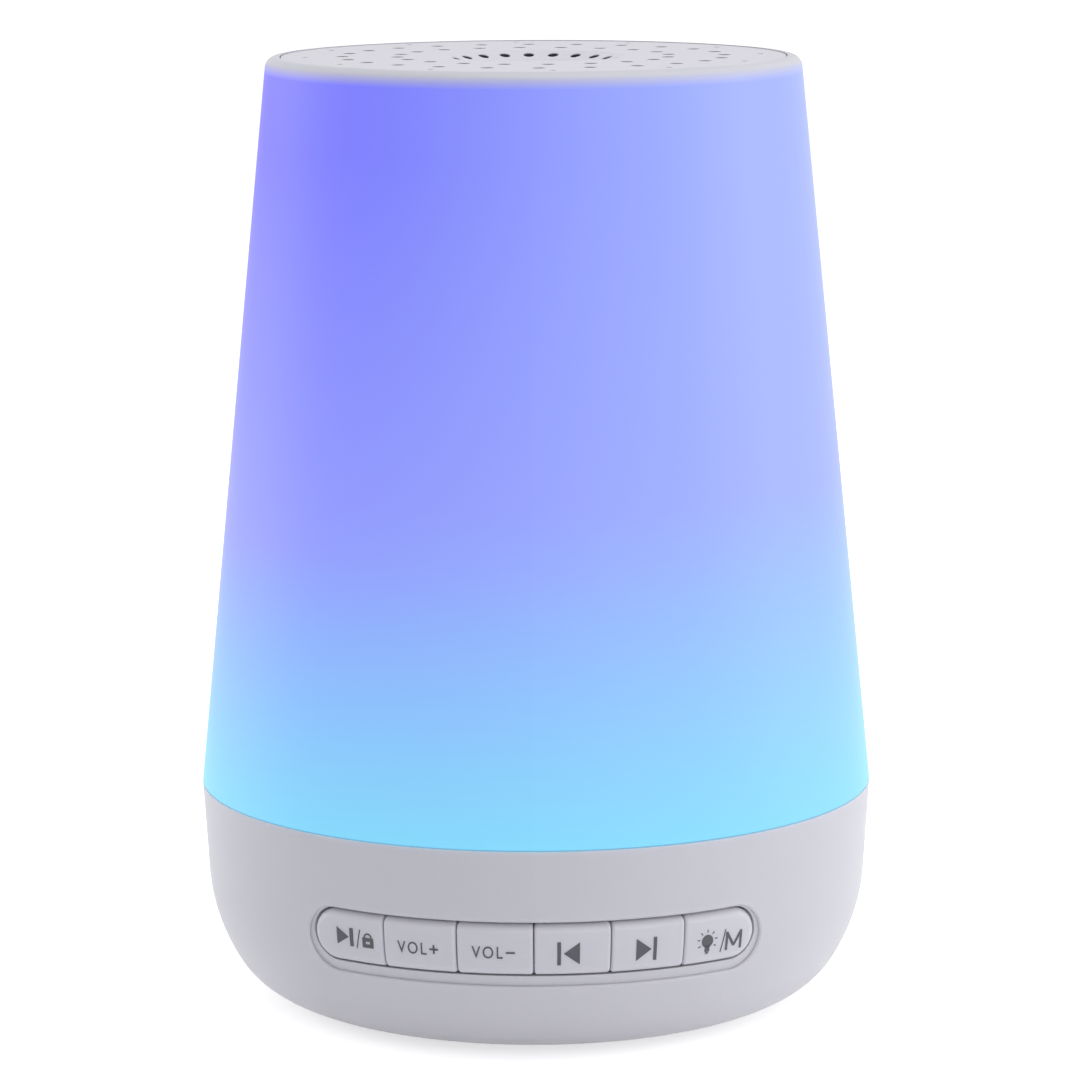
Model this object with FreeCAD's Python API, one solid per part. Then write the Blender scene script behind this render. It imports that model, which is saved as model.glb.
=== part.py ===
import FreeCAD
import Part
import math
import os

# White noise sound machine: a tapered light shade on a rounded base, with six
# press keys in a pill-shaped strip on the front and a loudspeaker under a
# perforated top. Millimetres, +Z up, the table at z = 0, the front faces -Y.
# Angles round the body count from the front towards +X, in degrees.

# Outer form
overall_height = 140.3
base_radius = 50.0
seam_height = 32.7
seam_gap = 0.2
waist_inset = 0.8
waist_height = 19.4
flat_inset = 15.2
foot_standoff = 1.0
shell_wall = 2.2
cavity_rise = 5.0

# Light shade
shade_top_radius = 39.15
shade_wall = 2.0
rim_rounding = 1.6
grille_recess = 0.1
ledge_width = 1.5
ledge_height = 1.6
spigot_length = 3.0
spigot_wall = 2.0
spigot_clearance = 0.15
spigot_rise = 3.0
shade_boss_radius = 3.0
shade_boss_height = 9.0
shade_boss_inset = 8.0
shade_screw_angles = (45.0, 135.0, 225.0, 315.0)

# Perforated top
grille_thickness = 1.8
grille_clearance = 0.2
dish_floor_share = 0.254
dish_lip_share = 0.368
dish_depth = 1.3
grille_ring_shares = (0.315, 0.54, 0.757, 0.905)
grille_ring_counts = (20, 20, 24, 12)
grille_ring_turns = (4.0, 6.5, 2.0, 5.0)
grille_hole_radii = (0.8, 1.0, 1.0, 0.5)
cloth_thickness = 0.3
cloth_clearance = 0.3

# Loudspeaker
gasket_thickness = 3.0
gasket_inner_radius = 23.6
gasket_outer_radius = 26.3
speaker_flange_radius = 31.0
speaker_flange_thickness = 1.2
basket_opening_radius = 22.0
basket_depth = 15.5
basket_wall = 1.2
basket_seat_radius = 16.0
basket_window_count = 4
basket_window_angle = 58.0
cone_outer_radius = 19.6
cone_wall = 0.5
cone_drop = 8.5
surround_thickness = 0.4
surround_lap = 1.4
dust_cap_radius = 8.6
dust_cap_rise = 2.5
dust_cap_wall = 0.4
spider_thickness = 0.4
spider_inset = 0.6
former_radius = 7.0
former_wall = 0.25
former_length = 14.0
winding_wall = 0.45
winding_length = 2.8
coil_clearance = 0.35
front_plate_thickness = 3.0
magnet_thickness = 8.0
magnet_radius = 18.0
magnet_bore_radius = 10.0
yoke_thickness = 3.0
speaker_screw_circle = 28.7
speaker_screw_count = 4
terminal_width = 8.0
terminal_height = 7.0

# Speaker cup on its column
cup_radius = 33.0
cup_wall = 2.0
cup_lip_width = 4.4
cup_lip_height = 6.0
cup_floor_thickness = 2.0
cup_air_gap = 4.0
column_radius = 9.0
column_wall = 1.6
column_flange_radius = 17.5
column_flange_thickness = 2.5
column_screw_circle = 13.6
column_screw_count = 3
cup_cone_height = 12.0

# White deck over the base
deck_thickness = 2.0
deck_clearance = 0.3
deck_seat_width = 2.4
deck_seat_height = 1.5
deck_post_radius = 3.0
deck_boss_height = 6.0
deck_hole_radius = 6.5

# Light board
led_board_inner_radius = 20.0
led_board_clearance = 0.8
led_board_thickness = 1.2
led_inset = 6.2
led_count = 16
led_size = 3.5
led_height = 0.9

# Bottom cover, foot and case screws
cover_inset = 17.0
cover_clearance = 0.15
cover_thickness = 2.0
cover_seat_width = 3.8
cover_post_radius = 3.6
cover_post_height = 12.0
post_inset = 7.9
post_angle = 39.0
foot_inset = 3.6
foot_width = 8.2
foot_groove_depth = 0.8
foot_clearance = 0.1
shell_floor_thickness = 4.0

# Screws: shank and head, with the clearances of their holes
case_screw_radius = 1.3
case_screw_length = 20.0
small_screw_radius = 1.0
small_screw_length = 6.0
screw_hole_clearance = 0.2
pilot_clearance = 0.04
screw_head_height = 1.3
screw_head_margin = 0.8
head_counterbore_depth = 3.2
screw_slot_width = 0.5
screw_slot_depth = 0.6
pilot_spare = 0.8

# Main board and what it carries
board_inset = 4.5
board_thickness = 1.6
board_tongue_half_width = 7.5
board_rear_gap = 1.2
board_hole_clearance = 0.2
connector_height = 3.4
connector_depth = 4.5
chip_height = 1.3
chip_sizes = ((7.0, 7.0), (5.0, 6.0), (10.0, 12.0), (4.0, 4.0))
chip_places = ((-0.886, -0.513), (0.76, -0.615), (-1.392, 0.205), (0.633, 0.615))
capacitor_radius = 2.5
capacitor_height = 6.0
capacitor_pitch = 6.0
capacitor_place = (1.266, 0.154)

# Rear power socket
usb_width = 8.94
usb_height = 3.26
usb_depth = 7.35
usb_wall = 0.3
usb_corner = 1.35
usb_tongue_width = 6.69
usb_tongue_thickness = 0.7
usb_tongue_back = 1.0
usb_tongue_front_gap = 0.8
usb_hole_clearance = 0.2
usb_pocket_width = 13.0
usb_pocket_height = 7.6
usb_pocket_depth = 1.0

# Battery
battery_end_gap = 13.0
battery_side_gap = 1.4
battery_height = 8.0
battery_corner = 3.0
tape_thickness = 0.4
tape_margin = 3.0

# Front keys
key_drop = 1.12
key_half_height = 3.75
key_pitch = 12.88
key_end_angle = 39.85
key_gap = 0.13
key_window_gap = 0.25
key_edge_rounding = 1.2
key_side_rounding = 0.45
key_travel = 0.5
key_lip = 0.9
key_lip_gap = 0.2
key_lip_thickness = 1.0
key_post_radius = 1.5
ledge_rise = 0.15
ledge_drop = 1.4
ledge_depth = 0.5
rim_slope = 0.25
key_names = ("key_play_lock", "key_volume_up", "key_volume_down",
             "key_previous", "key_next", "key_light_mode")

# Key switches and their bracket
bracket_inset = 10.7
bracket_wall = 2.0
bracket_headroom = 0.9
bracket_end_angle = 41.0
bracket_foot_depth = 5.0
bracket_foot_thickness = 1.6
bracket_foot_angle = 32.0
bracket_screw_angle = 25.0
bracket_screw_inset = 2.6
key_strip_thickness = 0.4
key_strip_half_height = 4.0
switch_size = 4.5
switch_depth = 1.8
switch_button_radius = 1.15
switch_button_reach = 0.9
switch_bore_clearance = 0.2

# Wires and the flat cable
wire_radius = 0.55
wire_spacing = 1.6
ribbon_width = 8.0
ribbon_thickness = 0.25
ribbon_standoff = 0.3
ribbon_lead = 1.6

# Places that follow from the sizes above
waist_radius = base_radius - waist_inset
flat_radius = base_radius - flat_inset
cover_radius = base_radius - cover_inset
bracket_distance = waist_radius - bracket_inset
board_radius = bracket_distance - board_inset
post_circle = cover_radius - post_inset
post_offset_x = post_circle * math.sin(math.radians(post_angle))
post_offset_y = post_circle * math.cos(math.radians(post_angle))
foot_outer_radius = cover_radius - foot_inset
foot_inner_radius = foot_outer_radius - foot_width
battery_length = 2 * (board_radius - battery_end_gap)
battery_width = 2 * (post_offset_y - cover_post_radius - battery_side_gap)
deck_top = seam_height - spigot_length
deck_bottom = deck_top - deck_thickness
bracket_top = deck_bottom - deck_seat_height - bracket_headroom
cover_bottom = foot_standoff
cover_top = cover_bottom + cover_thickness
board_bottom = cover_top + cover_post_height
board_top = board_bottom + board_thickness
floor_top = foot_standoff + shell_floor_thickness
groove_top = cover_bottom + foot_groove_depth
grille_top = overall_height - grille_recess
grille_bottom = grille_top - grille_thickness
cloth_bottom = grille_bottom - cloth_thickness
flange_top = cloth_bottom - gasket_thickness
flange_bottom = flange_top - speaker_flange_thickness
seat_top = flange_top - basket_depth
plate_top = seat_top - basket_wall
magnet_top = plate_top - front_plate_thickness
magnet_bottom = magnet_top - magnet_thickness
yoke_bottom = magnet_bottom - yoke_thickness
cup_floor_top = yoke_bottom - cup_air_gap
cup_bottom = cup_floor_top - cup_floor_thickness
spider_outer_radius = basket_seat_radius - spider_inset
shade_boss_circle = base_radius - shade_boss_inset
led_board_outer_radius = shade_boss_circle - shade_boss_radius - led_board_clearance
led_circle = led_board_outer_radius - led_inset
key_height = waist_height - key_drop
strip_distance = bracket_distance + bracket_wall
switch_back = strip_distance + key_strip_thickness
switch_front = switch_back + switch_depth
button_front = switch_front + switch_button_reach
button_back = switch_front - switch_button_reach
pole_radius = former_radius - coil_clearance
case_posts = [(sx * post_offset_x, sy * post_offset_y) for sx in (-1, 1) for sy in (-1, 1)]
key_edges = [-key_end_angle] + [key_pitch * k for k in (-2, -1, 0, 1, 2)] + [key_end_angle]
key_angles = [(a + b) / 2 for a, b in zip(key_edges, key_edges[1:])]


def vec(x, y, z):
    return FreeCAD.Vector(x, y, z)


# Unit vector pointing outwards at an angle round the body
def outward(angle):
    a = math.radians(angle)
    return vec(math.sin(a), -math.cos(a), 0)


# Unit vector along the body's surface, towards a growing angle
def sideways(angle):
    a = math.radians(angle)
    return vec(math.cos(a), math.sin(a), 0)


def at(radius, angle, z):
    p = outward(angle) * radius
    return vec(p.x, p.y, z)


def cylinder(radius, z0, z1, x=0.0, y=0.0):
    return Part.makeCylinder(radius, z1 - z0, vec(x, y, z0))


def tube(inner, outer, z0, z1):
    return cylinder(outer, z0, z1).cut(cylinder(inner, z0 - 1, z1 + 1))


def box(x0, x1, y0, y1, z0, z1):
    return Part.makeBox(x1 - x0, y1 - y0, z1 - z0, vec(x0, y0, z0))


# Turns the front of the body to another angle
def turned(shape, angle):
    return shape.rotated(vec(0, 0, 0), vec(0, 0, 1), angle)


def lathe(edges, degrees=360.0, start=0.0):
    face = Part.Face(Part.Wire(edges))
    solid = face.revolve(vec(0, 0, 0), vec(0, 0, 1), degrees)
    return turned(solid, start)


def flat_edges(points):
    corners = [vec(0, -r, z) for r, z in points]
    closed = corners + corners[:1]
    return [Part.LineSegment(a, b).toShape() for a, b in zip(closed, closed[1:])]


# Solid of revolution of a polygon of (radius, height) corners
def lathe_polygon(points, degrees=360.0, start=0.0):
    return lathe(flat_edges(points), degrees, start)


def prism(points, z0, z1):
    wire = Part.makePolygon([vec(p.x, p.y, z0) for p in points + points[:1]])
    return Part.Face(wire).extrude(vec(0, 0, z1 - z0))


def common(a, b):
    return a.common(b)


def copies(shape, places):
    return [shape.translated(vec(x, y, 0)) for x, y in places]


# Shade surface

def shade_radius(z):
    slope = (base_radius - shade_top_radius) / (overall_height - seam_height)
    return base_radius - slope * (z - seam_height)


# Base surface: a straight run from the seam to the waist, then two tangent
# arcs down to the flat underside. Every curve is offset inwards by an inset.

def unit(p):
    size = math.hypot(p[0], p[1])
    return (p[0] / size, p[1] / size)


class Curve:
    def __init__(self, start, tangent, end):
        chord = (end[0] - start[0], end[1] - start[1])
        normal = (tangent[1], -tangent[0])
        reach = chord[0] * normal[0] + chord[1] * normal[1]
        self.radius = (chord[0] ** 2 + chord[1] ** 2) / (2 * reach)
        self.centre = (start[0] + normal[0] * self.radius, start[1] + normal[1] * self.radius)
        self.start = start
        self.end = end
        middle = unit(((start[0] + end[0]) / 2 - self.centre[0],
                       (start[1] + end[1]) / 2 - self.centre[1]))
        self.middle = (self.centre[0] + middle[0] * self.radius,
                       self.centre[1] + middle[1] * self.radius)

    def inset(self, point, amount):
        share = (self.radius - amount) / self.radius
        return (self.centre[0] + (point[0] - self.centre[0]) * share,
                self.centre[1] + (point[1] - self.centre[1]) * share)

    def edge(self, amount):
        ends = [self.inset(p, amount) for p in (self.start, self.middle, self.end)]
        return Part.Arc(*[vec(0, -r, z) for r, z in ends]).toShape()

    # Radius of the inset curve at a height
    def radius_at(self, z, amount):
        return self.centre[0] + math.sqrt((self.radius - amount) ** 2 - (z - self.centre[1]) ** 2)


waist = (waist_radius, waist_height)
flat_end = (flat_radius, foot_standoff)
down = unit((waist_radius - base_radius, waist_height - seam_height))
span = (flat_end[0] - waist[0], flat_end[1] - waist[1])
along = span[0] * (down[0] - 1) + span[1] * down[1]
spread = 2 * (1 + down[0])
handle = (math.sqrt(along ** 2 + spread * (span[0] ** 2 + span[1] ** 2)) - along) / spread
upper_handle = (waist[0] + handle * down[0], waist[1] + handle * down[1])
lower_handle = (flat_end[0] + handle, flat_end[1])
knee = ((upper_handle[0] + lower_handle[0]) / 2, (upper_handle[1] + lower_handle[1]) / 2)
knee_tangent = unit((lower_handle[0] - upper_handle[0], lower_handle[1] - upper_handle[1]))
flank = Curve(waist, down, knee)
corner = Curve(knee, knee_tangent, flat_end)


# Radius of the base surface, less an inset, at a height above the knee
def base_surface(z, inset=0.0):
    if z < waist_height:
        return flank.radius_at(z, inset)
    return waist_radius + (base_radius - waist_radius) * (z - waist_height) / (
        seam_height - waist_height) - inset


# The whole base form less an inset, cut off a little above the seam by a rise
def base_form(inset, rise):
    top = flank.inset(waist, inset)
    length = (seam_height + rise - top[1]) / -down[1]
    upper = (top[0] - down[0] * length, seam_height + rise)
    bottom = corner.inset(flat_end, inset)
    edges = [Part.LineSegment(vec(0, -upper[0], upper[1]), vec(0, -top[0], top[1])).toShape(),
             flank.edge(inset),
             corner.edge(inset),
             Part.LineSegment(vec(0, -bottom[0], bottom[1]), vec(0, 0, bottom[1])).toShape(),
             Part.LineSegment(vec(0, 0, bottom[1]), vec(0, 0, upper[1])).toShape(),
             Part.LineSegment(vec(0, 0, upper[1]), vec(0, -upper[0], upper[1])).toShape()]
    return lathe(edges)


# Pill-shaped block that stands round the front, grown all round by a margin
# and drawn down below by a drop
def pill(margin, inner, outer, drop=0.0):
    half = key_half_height + margin + drop / 2
    centre = key_height - drop / 2
    end = key_end_angle - math.degrees(key_half_height / waist_radius)
    low = centre - half
    high = centre + half
    body = lathe_polygon([(inner, low), (outer, low), (outer, high), (inner, high)],
                         2 * end, -end)
    caps = [Part.makeCylinder(half, outer - inner, at(inner, a, centre), outward(a))
            for a in (-end, end)]
    return body.fuse(caps).removeSplitter()


# Block with its long side across the view and rounded corners, along Y
def rounded_block(width, height, rounding, y0, y1, z):
    block = box(-width / 2, width / 2, y0, y1, z - height / 2, z + height / 2)
    return block.makeFillet(rounding, [e for e in block.Edges if is_along_y(e)])


def is_along_y(edge):
    a = edge.Vertexes[0].Point
    b = edge.Vertexes[-1].Point
    return abs(a.x - b.x) < 1e-6 and abs(a.z - b.z) < 1e-6


# Screw with a slotted head: its seat is the plane under the head
def screw(radius, length, x, y, seat, way):
    head_radius = radius + screw_head_margin
    top = seat - way * screw_head_height
    shank = cylinder(radius, min(seat, seat + way * length), max(seat, seat + way * length), x, y)
    head = cylinder(head_radius, min(seat, top), max(seat, top), x, y)
    floor = top + way * screw_slot_depth
    slot = box(x - head_radius, x + head_radius, y - screw_slot_width / 2,
               y + screw_slot_width / 2, min(top, floor), max(top, floor))
    return head.fuse(shank).removeSplitter().cut(slot)


def circle_places(radius, count, start=0.0):
    points = [at(radius, start + 360.0 * k / count, 0) for k in range(count)]
    return [(p.x, p.y) for p in points]


# Round wire through points: straight runs joined by tangent arcs
def wire(points, radius):
    edges = []
    last = points[0]
    for before, point, after in zip(points, points[1:], points[2:]):
        back = (before - point).normalize()
        ahead = (after - point).normalize()
        turn = math.pi - back.getAngle(ahead)
        run = min(point.distanceToPoint(before), point.distanceToPoint(after))
        setback = 0.45 * run
        bend = setback / math.tan(turn / 2)
        inward = (back + ahead).normalize()
        middle = point + inward * (bend / math.cos(turn / 2) - bend)
        start = point + back * setback
        end = point + ahead * setback
        edges.append(Part.LineSegment(last, start).toShape())
        edges.append(Part.Arc(start, middle, end).toShape())
        last = end
    edges.append(Part.LineSegment(last, points[-1]).toShape())
    path = Part.Wire(edges)
    ring = Part.makeCircle(radius, points[0], points[1] - points[0])
    return path.makePipeShell([Part.Wire(ring)], True, False)


# Light shade: tapered wall, rounded rim, seat for the perforated top and a
# spigot with four screw bosses

def make_shade():
    bore = shade_radius(grille_top) - shade_wall
    ledge_bottom = grille_bottom - ledge_height
    under_ledge = ledge_bottom - ledge_width
    spigot = base_surface(deck_top) - shell_wall - spigot_clearance
    spigot_inner = spigot - spigot_wall
    bottom = seam_height + seam_gap
    inner_start = bottom + spigot_rise
    wall = lathe_polygon([
        (shade_radius(bottom), bottom),
        (shade_top_radius, overall_height),
        (bore, overall_height),
        (bore, grille_bottom),
        (bore - ledge_width, grille_bottom),
        (bore - ledge_width, ledge_bottom),
        (shade_radius(under_ledge) - shade_wall, under_ledge),
        (shade_radius(inner_start + spigot_rise) - shade_wall, inner_start + spigot_rise),
        (spigot_inner, inner_start),
        (spigot_inner, deck_top),
        (spigot, deck_top),
        (spigot, bottom)])
    rim = [e for e in wall.Edges if abs(e.BoundBox.ZMin - overall_height) < 1e-6
           and e.BoundBox.XMax > shade_top_radius - 1e-6 and e.BoundBox.ZLength < 1e-6]
    wall = wall.makeFillet(rim_rounding, rim)
    for angle in shade_screw_angles:
        p = at(shade_boss_circle, angle, 0)
        boss = cylinder(shade_boss_radius, deck_top, deck_top + shade_boss_height, p.x, p.y)
        rib = turned(box(-shade_boss_radius / 2, shade_boss_radius / 2,
                         -(spigot_inner + spigot_wall / 2), -shade_boss_circle,
                         deck_top, inner_start), angle)
        wall = wall.fuse([boss, rib])
        wall = wall.cut(cylinder(small_screw_radius + pilot_clearance, deck_top - 1,
                                 deck_bottom + small_screw_length + pilot_spare, p.x, p.y))
    return wall


# Flat ring with a shallow dish in its middle, between two heights
def dished(radius, dish_scale, low, high):
    lip = dish_lip_share * dish_scale
    floor = dish_floor_share * dish_scale
    return lathe_polygon([(0, low - dish_depth), (floor, low - dish_depth), (lip, low),
                          (radius, low), (radius, high), (lip, high),
                          (floor, high - dish_depth), (0, high - dish_depth)])


def grille_radius():
    return shade_radius(grille_top) - shade_wall - grille_clearance


def make_grille():
    radius = grille_radius()
    holes = []
    for share, count, turn, hole in zip(grille_ring_shares, grille_ring_counts,
                                        grille_ring_turns, grille_hole_radii):
        for x, y in circle_places(share * radius, count, turn):
            holes.append(cylinder(hole, cloth_bottom - dish_depth, grille_top + 1, x, y))
    disc = dished(radius, radius, grille_bottom, grille_top)
    return disc.cut(Part.makeCompound(holes))


def make_cloth():
    radius = shade_radius(grille_top) - shade_wall - ledge_width - cloth_clearance
    return dished(radius, grille_radius(), cloth_bottom, grille_bottom)


# Loudspeaker

cone_top = flange_top
cone_neck = cone_top - cone_drop
former_outer = former_radius + former_wall
winding_outer = former_outer + winding_wall
gap_radius = winding_outer + coil_clearance
cone_rim_inner = cone_outer_radius - surround_lap


def make_basket():
    seat_bore = gap_radius + coil_clearance
    body = lathe_polygon([
        (basket_opening_radius, flange_top),
        (speaker_flange_radius, flange_top),
        (speaker_flange_radius, flange_bottom),
        (basket_opening_radius + basket_wall, flange_bottom),
        (basket_seat_radius + basket_wall, plate_top),
        (seat_bore, plate_top),
        (seat_bore, seat_top),
        (basket_seat_radius, seat_top),
        (basket_opening_radius, flange_bottom)])
    low = seat_top + basket_wall
    high = flange_bottom - basket_wall
    for k in range(basket_window_count):
        middle = 360.0 / basket_window_count * k + 180.0 / basket_window_count
        body = body.cut(lathe_polygon([(basket_seat_radius - basket_wall, low),
                                       (speaker_flange_radius, low),
                                       (speaker_flange_radius, high),
                                       (basket_seat_radius - basket_wall, high)],
                                      basket_window_angle, middle - basket_window_angle / 2))
    for x, y in circle_places(speaker_screw_circle, speaker_screw_count):
        body = body.cut(cylinder(small_screw_radius + screw_hole_clearance,
                                 flange_bottom - 1, flange_top + 1, x, y))
    return body


def make_surround():
    middle = (cone_outer_radius + basket_opening_radius) / 2
    roll = (basket_opening_radius - cone_outer_radius) / 2
    low = flange_top
    high = flange_top + surround_thickness

    def arch(r, z):
        return Part.Arc(vec(0, -(middle - r), z), vec(0, -middle, z + r),
                        vec(0, -(middle + r), z)).toShape()

    def line(r0, z0, r1, z1):
        return Part.LineSegment(vec(0, -r0, z0), vec(0, -r1, z1)).toShape()

    lap_in = cone_rim_inner
    lap_out = basket_opening_radius + surround_lap
    outer = roll
    inner = roll - surround_thickness
    return lathe([
        line(lap_in, low, lap_in, high),
        line(lap_in, high, middle - outer, high),
        arch(outer, high),
        line(middle + outer, high, lap_out, high),
        line(lap_out, high, lap_out, low),
        line(lap_out, low, middle + inner, low),
        arch(inner, low),
        line(middle - inner, low, lap_in, low)])


def make_cone():
    return lathe_polygon([
        (cone_outer_radius, cone_top),
        (cone_rim_inner, cone_top),
        (former_outer, cone_neck),
        (former_outer, cone_neck - 2 * cone_wall),
        (cone_rim_inner, cone_top - cone_wall),
        (cone_outer_radius, cone_top - cone_wall)])


def cone_surface(radius):
    return cone_top - cone_drop * (cone_rim_inner - radius) / (cone_rim_inner - former_outer)


def make_dust_cap():
    low = cone_surface(dust_cap_radius) + 0.02
    radius = (dust_cap_radius ** 2 + dust_cap_rise ** 2) / (2 * dust_cap_rise)
    centre = low + dust_cap_rise - radius
    outer = Part.makeSphere(radius, vec(0, 0, centre))
    inner = Part.makeSphere(radius - dust_cap_wall, vec(0, 0, centre))
    return outer.cut(inner).cut(cylinder(2 * radius, centre - 2 * radius, low))


def make_former():
    return tube(former_radius, former_outer, cone_neck - former_length, cone_neck)


def make_winding():
    middle = plate_top - front_plate_thickness / 2
    return tube(former_outer, winding_outer, middle - winding_length / 2,
                middle + winding_length / 2)


# Ripples run from the lap on the basket seat to the voice coil
def make_spider():
    ripples = 4
    inner = former_outer
    outer = spider_outer_radius - surround_lap
    rise = spider_thickness * 2
    lower = [(spider_outer_radius, seat_top)]
    for k in range(2 * ripples + 1):
        r = outer + (inner - outer) * k / (2 * ripples)
        lower.append((r, seat_top + rise * (k % 2)))
    upper = [(r, z + spider_thickness) for r, z in reversed(lower)]
    return lathe_polygon(lower + upper)


def make_front_plate():
    return tube(gap_radius, basket_seat_radius, magnet_top, plate_top)


def make_magnet():
    return tube(magnet_bore_radius, magnet_radius, magnet_bottom, magnet_top)


def make_yoke():
    back = cylinder(basket_seat_radius, yoke_bottom, magnet_bottom)
    pole = cylinder(pole_radius, magnet_bottom, plate_top)
    return back.fuse(pole).removeSplitter()


def make_terminals():
    inner = basket_opening_radius + basket_wall + coil_clearance
    plate = box(-terminal_width / 2, terminal_width / 2, inner, inner + basket_wall,
                flange_bottom - terminal_height, flange_bottom)
    return plate


def make_speaker_screws():
    return [screw(small_screw_radius, small_screw_length, x, y, flange_top, -1)
            for x, y in circle_places(speaker_screw_circle, speaker_screw_count)]


# Speaker cup, its cone and its column in one moulding, with a screw flange
def make_pillar():
    cup_inner = cup_radius - cup_wall
    lip_inner = cup_inner - cup_lip_width
    bore = column_radius - column_wall
    neck = cup_bottom - cup_cone_height
    flange = deck_top + column_flange_thickness
    body = lathe_polygon([
        (bore, deck_top),
        (column_flange_radius, deck_top),
        (column_flange_radius, flange),
        (column_radius + column_wall, flange),
        (column_radius, flange + cup_cone_height),
        (column_radius, neck),
        (cup_radius, cup_bottom),
        (cup_radius, flange_bottom),
        (lip_inner, flange_bottom),
        (lip_inner, flange_bottom - cup_lip_height),
        (cup_inner, flange_bottom - cup_lip_height - cup_lip_width),
        (cup_inner, cup_floor_top),
        (bore, cup_floor_top)])
    for x, y in circle_places(column_screw_circle, column_screw_count):
        body = body.cut(cylinder(small_screw_radius + screw_hole_clearance, deck_top - 1,
                                 flange + 1, x, y))
    for x, y in circle_places(speaker_screw_circle, speaker_screw_count):
        depth = flange_top - small_screw_length - pilot_spare
        body = body.cut(cylinder(small_screw_radius + pilot_clearance, depth,
                                 flange_bottom + 1, x, y))
    return body


def make_pillar_screws():
    seat = deck_top + column_flange_thickness
    return [screw(small_screw_radius, small_screw_length, x, y, seat, -1)
            for x, y in circle_places(column_screw_circle, column_screw_count)]


# White deck: closes the base and carries the pillar, the light board and the shade

led_plug_width = connector_depth * 2
led_plug_place = (led_board_inner_radius + led_board_outer_radius) / 2


def led_plug(margin, z0, z1):
    return box(-led_plug_width / 2 - margin, led_plug_width / 2 + margin,
               led_plug_place - connector_depth / 2 - margin,
               led_plug_place + connector_depth / 2 + margin, z0, z1)


def make_deck():
    radius = base_surface(deck_bottom) - shell_wall - deck_clearance
    deck = cylinder(radius, deck_bottom, deck_top)
    for x, y in case_posts:
        deck = deck.fuse(cylinder(deck_post_radius, board_top, deck_bottom, x, y))
    for x, y in circle_places(column_screw_circle, column_screw_count):
        deck = deck.fuse(cylinder(deck_post_radius, deck_bottom - deck_boss_height,
                                  deck_bottom, x, y))
    for x, y in circle_places(column_screw_circle, column_screw_count):
        low = deck_top + column_flange_thickness - small_screw_length - pilot_spare
        deck = deck.cut(cylinder(small_screw_radius + pilot_clearance, low, deck_top + 1, x, y))
    screw_top = groove_top + head_counterbore_depth + case_screw_length
    for x, y in case_posts:
        deck = deck.cut(cylinder(case_screw_radius + pilot_clearance, board_top - 1,
                                 screw_top + pilot_spare, x, y))
    for angle in shade_screw_angles:
        p = at(shade_boss_circle, angle, 0)
        deck = deck.cut(cylinder(small_screw_radius + screw_hole_clearance,
                                 deck_bottom - 1, deck_top + 1, p.x, p.y))
    deck = deck.cut(cylinder(deck_hole_radius, deck_bottom - 1, deck_top + 1))
    return deck.cut(led_plug(screw_hole_clearance, deck_bottom - 1, deck_top + 1))


def make_shade_screws():
    places = [at(shade_boss_circle, angle, 0) for angle in shade_screw_angles]
    return [screw(small_screw_radius, small_screw_length, p.x, p.y, deck_bottom, 1)
            for p in places]


def make_led_board():
    return tube(led_board_inner_radius, led_board_outer_radius, deck_top,
                deck_top + led_board_thickness)


def make_leds():
    z = deck_top + led_board_thickness
    lamp = box(-led_size / 2, led_size / 2, -led_circle - led_size / 2,
               -led_circle + led_size / 2, z, z + led_height)
    return [turned(lamp, 360.0 * k / led_count) for k in range(led_count)]


def make_led_plug():
    return led_plug(0, deck_bottom - connector_height, deck_top)


# Base shell with the key window, the rear power pocket and the deck seat

def pocket_floor():
    return base_surface(board_top + usb_height / 2) - usb_pocket_depth


def make_base_shell():
    cavity = base_form(shell_wall, cavity_rise).cut(cylinder(2 * base_radius, 0, floor_top))
    shell = base_form(0, 0).cut(cavity)
    shell = shell.cut(cylinder(cover_radius + cover_clearance, 0, cover_top))
    shell = shell.cut(cylinder(cover_radius - cover_seat_width, 0, floor_top + 1))
    seat_inner = base_surface(deck_bottom) - shell_wall - deck_clearance - deck_seat_width
    seat = tube(seat_inner, base_surface(deck_bottom) - shell_wall / 2,
                deck_bottom - deck_seat_height, deck_bottom)
    shell = shell.fuse(seat).removeSplitter()
    shell = shell.cut(pill(key_window_gap, bracket_distance, 2 * base_radius))
    ledge = pill(key_window_gap + ledge_rise, bracket_distance, 2 * base_radius, ledge_drop)
    shell = shell.cut(ledge.cut(base_form(ledge_depth, cavity_rise)))
    rim = [e for e in shell.Edges if on_window_rim(e)]
    shell = shell.makeChamfer(rim_slope, rim)
    z = board_top + usb_height / 2
    shell = shell.cut(rounded_block(usb_pocket_width, usb_pocket_height, usb_corner,
                                    pocket_floor(), 2 * base_radius, z))
    shell = shell.cut(rounded_block(usb_width + 2 * usb_hole_clearance,
                                    usb_height + 2 * usb_hole_clearance,
                                    usb_corner + usb_hole_clearance,
                                    pocket_floor() - 2 * shell_wall, 2 * base_radius, z))
    for x, y in bracket_screw_places():
        shell = shell.cut(cylinder(small_screw_radius + pilot_clearance,
                                   bracket_screw_end() - pilot_spare / 2, floor_top + 1, x, y))
    return shell


# Edges of the key window that lie on the outer surface
def on_window_rim(edge):
    reach = key_half_height + key_window_gap + ledge_rise + ledge_drop + 0.01
    for share in (0.0, 0.35, 0.5, 0.8, 1.0):
        p = edge.valueAt(edge.FirstParameter + share * (edge.LastParameter - edge.FirstParameter))
        if p.y > 0 or abs(p.z - key_height) > reach:
            return False
        if abs(math.hypot(p.x, p.y) - base_surface(p.z)) > 0.01:
            return False
    return edge.BoundBox.DiagonalLength < 3 * base_radius and not is_waist(edge)


def is_waist(edge):
    box_ = edge.BoundBox
    return box_.ZLength < 1e-4 and abs(box_.ZMin - waist_height) < 1e-4


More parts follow.
